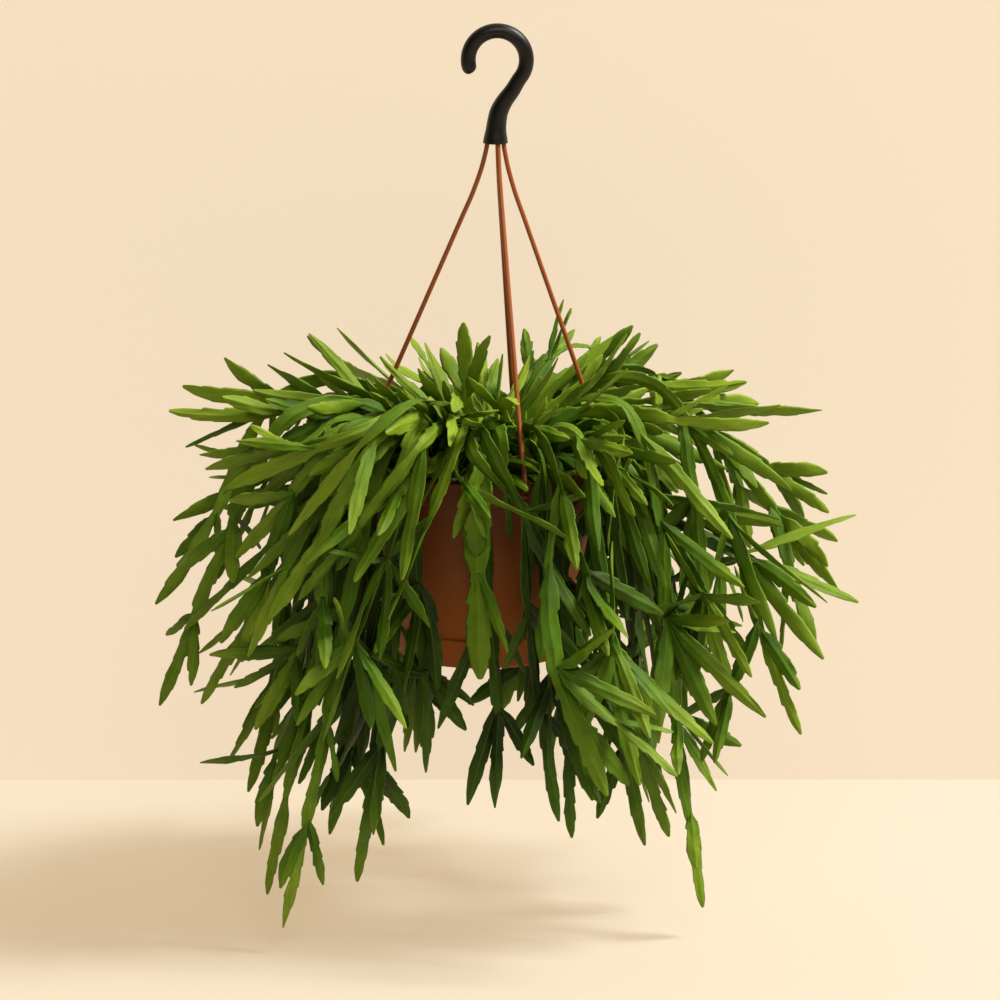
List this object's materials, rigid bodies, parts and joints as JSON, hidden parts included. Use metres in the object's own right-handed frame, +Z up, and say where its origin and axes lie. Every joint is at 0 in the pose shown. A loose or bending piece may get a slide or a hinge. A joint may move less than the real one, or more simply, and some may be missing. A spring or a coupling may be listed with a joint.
{
  "type": "potted rhipsalis micrantha",
  "caption": "Trailing cactus with flat notched stems, in a tapered plastic pot with a clip-on saucer, hung by thin rods from an open hook.",
  "frame": {"origin": "inside top of the hook's crook, where the whole thing hangs", "axes": "+Z up along the hanging direction; +Y to the back, away from the picture's viewer; +X to the right, with the crook's mouth at lower left"},
  "size_m": [0.4839, 0.3756, 0.6021],
  "materials": {
    "hook_plastic": "satin moulded black plastic",
    "rod_plastic": "smooth terracotta-coloured plastic rod",
    "pot_plastic": "fine matte terracotta-brown plastic",
    "potting_soil": "moist crumbly potting soil of peat and bark",
    "stem_skin": "waxy green stem skin, satin"
  },
  "bodies": {
    "root": {"hook": "hook_plastic", "rod_right": "rod_plastic", "rod_rear": "rod_plastic", "rod_left": "rod_plastic", "rod_front": "rod_plastic", "pot": "pot_plastic", "saucer": "pot_plastic", "soil": "potting_soil", "stem_01": "stem_skin", "stem_02": "stem_skin", "stem_03": "stem_skin", "stem_04": "stem_skin", "stem_05": "stem_skin", "stem_06": "stem_skin", "stem_07": "stem_skin", "stem_08": "stem_skin", "stem_09": "stem_skin", "stem_10": "stem_skin", "stem_11": "stem_skin", "stem_12": "stem_skin", "stem_13": "stem_skin", "stem_14": "stem_skin", "stem_15": "stem_skin", "stem_16": "stem_skin", "stem_17": "stem_skin", "stem_18": "stem_skin", "stem_19": "stem_skin", "stem_20": "stem_skin", "stem_21": "stem_skin", "stem_22": "stem_skin", "stem_23": "stem_skin", "stem_24": "stem_skin", "stem_25": "stem_skin", "stem_26": "stem_skin", "stem_27": "stem_skin", "stem_28": "stem_skin", "stem_29": "stem_skin", "stem_30": "stem_skin"}
  },
  "joints": []
}
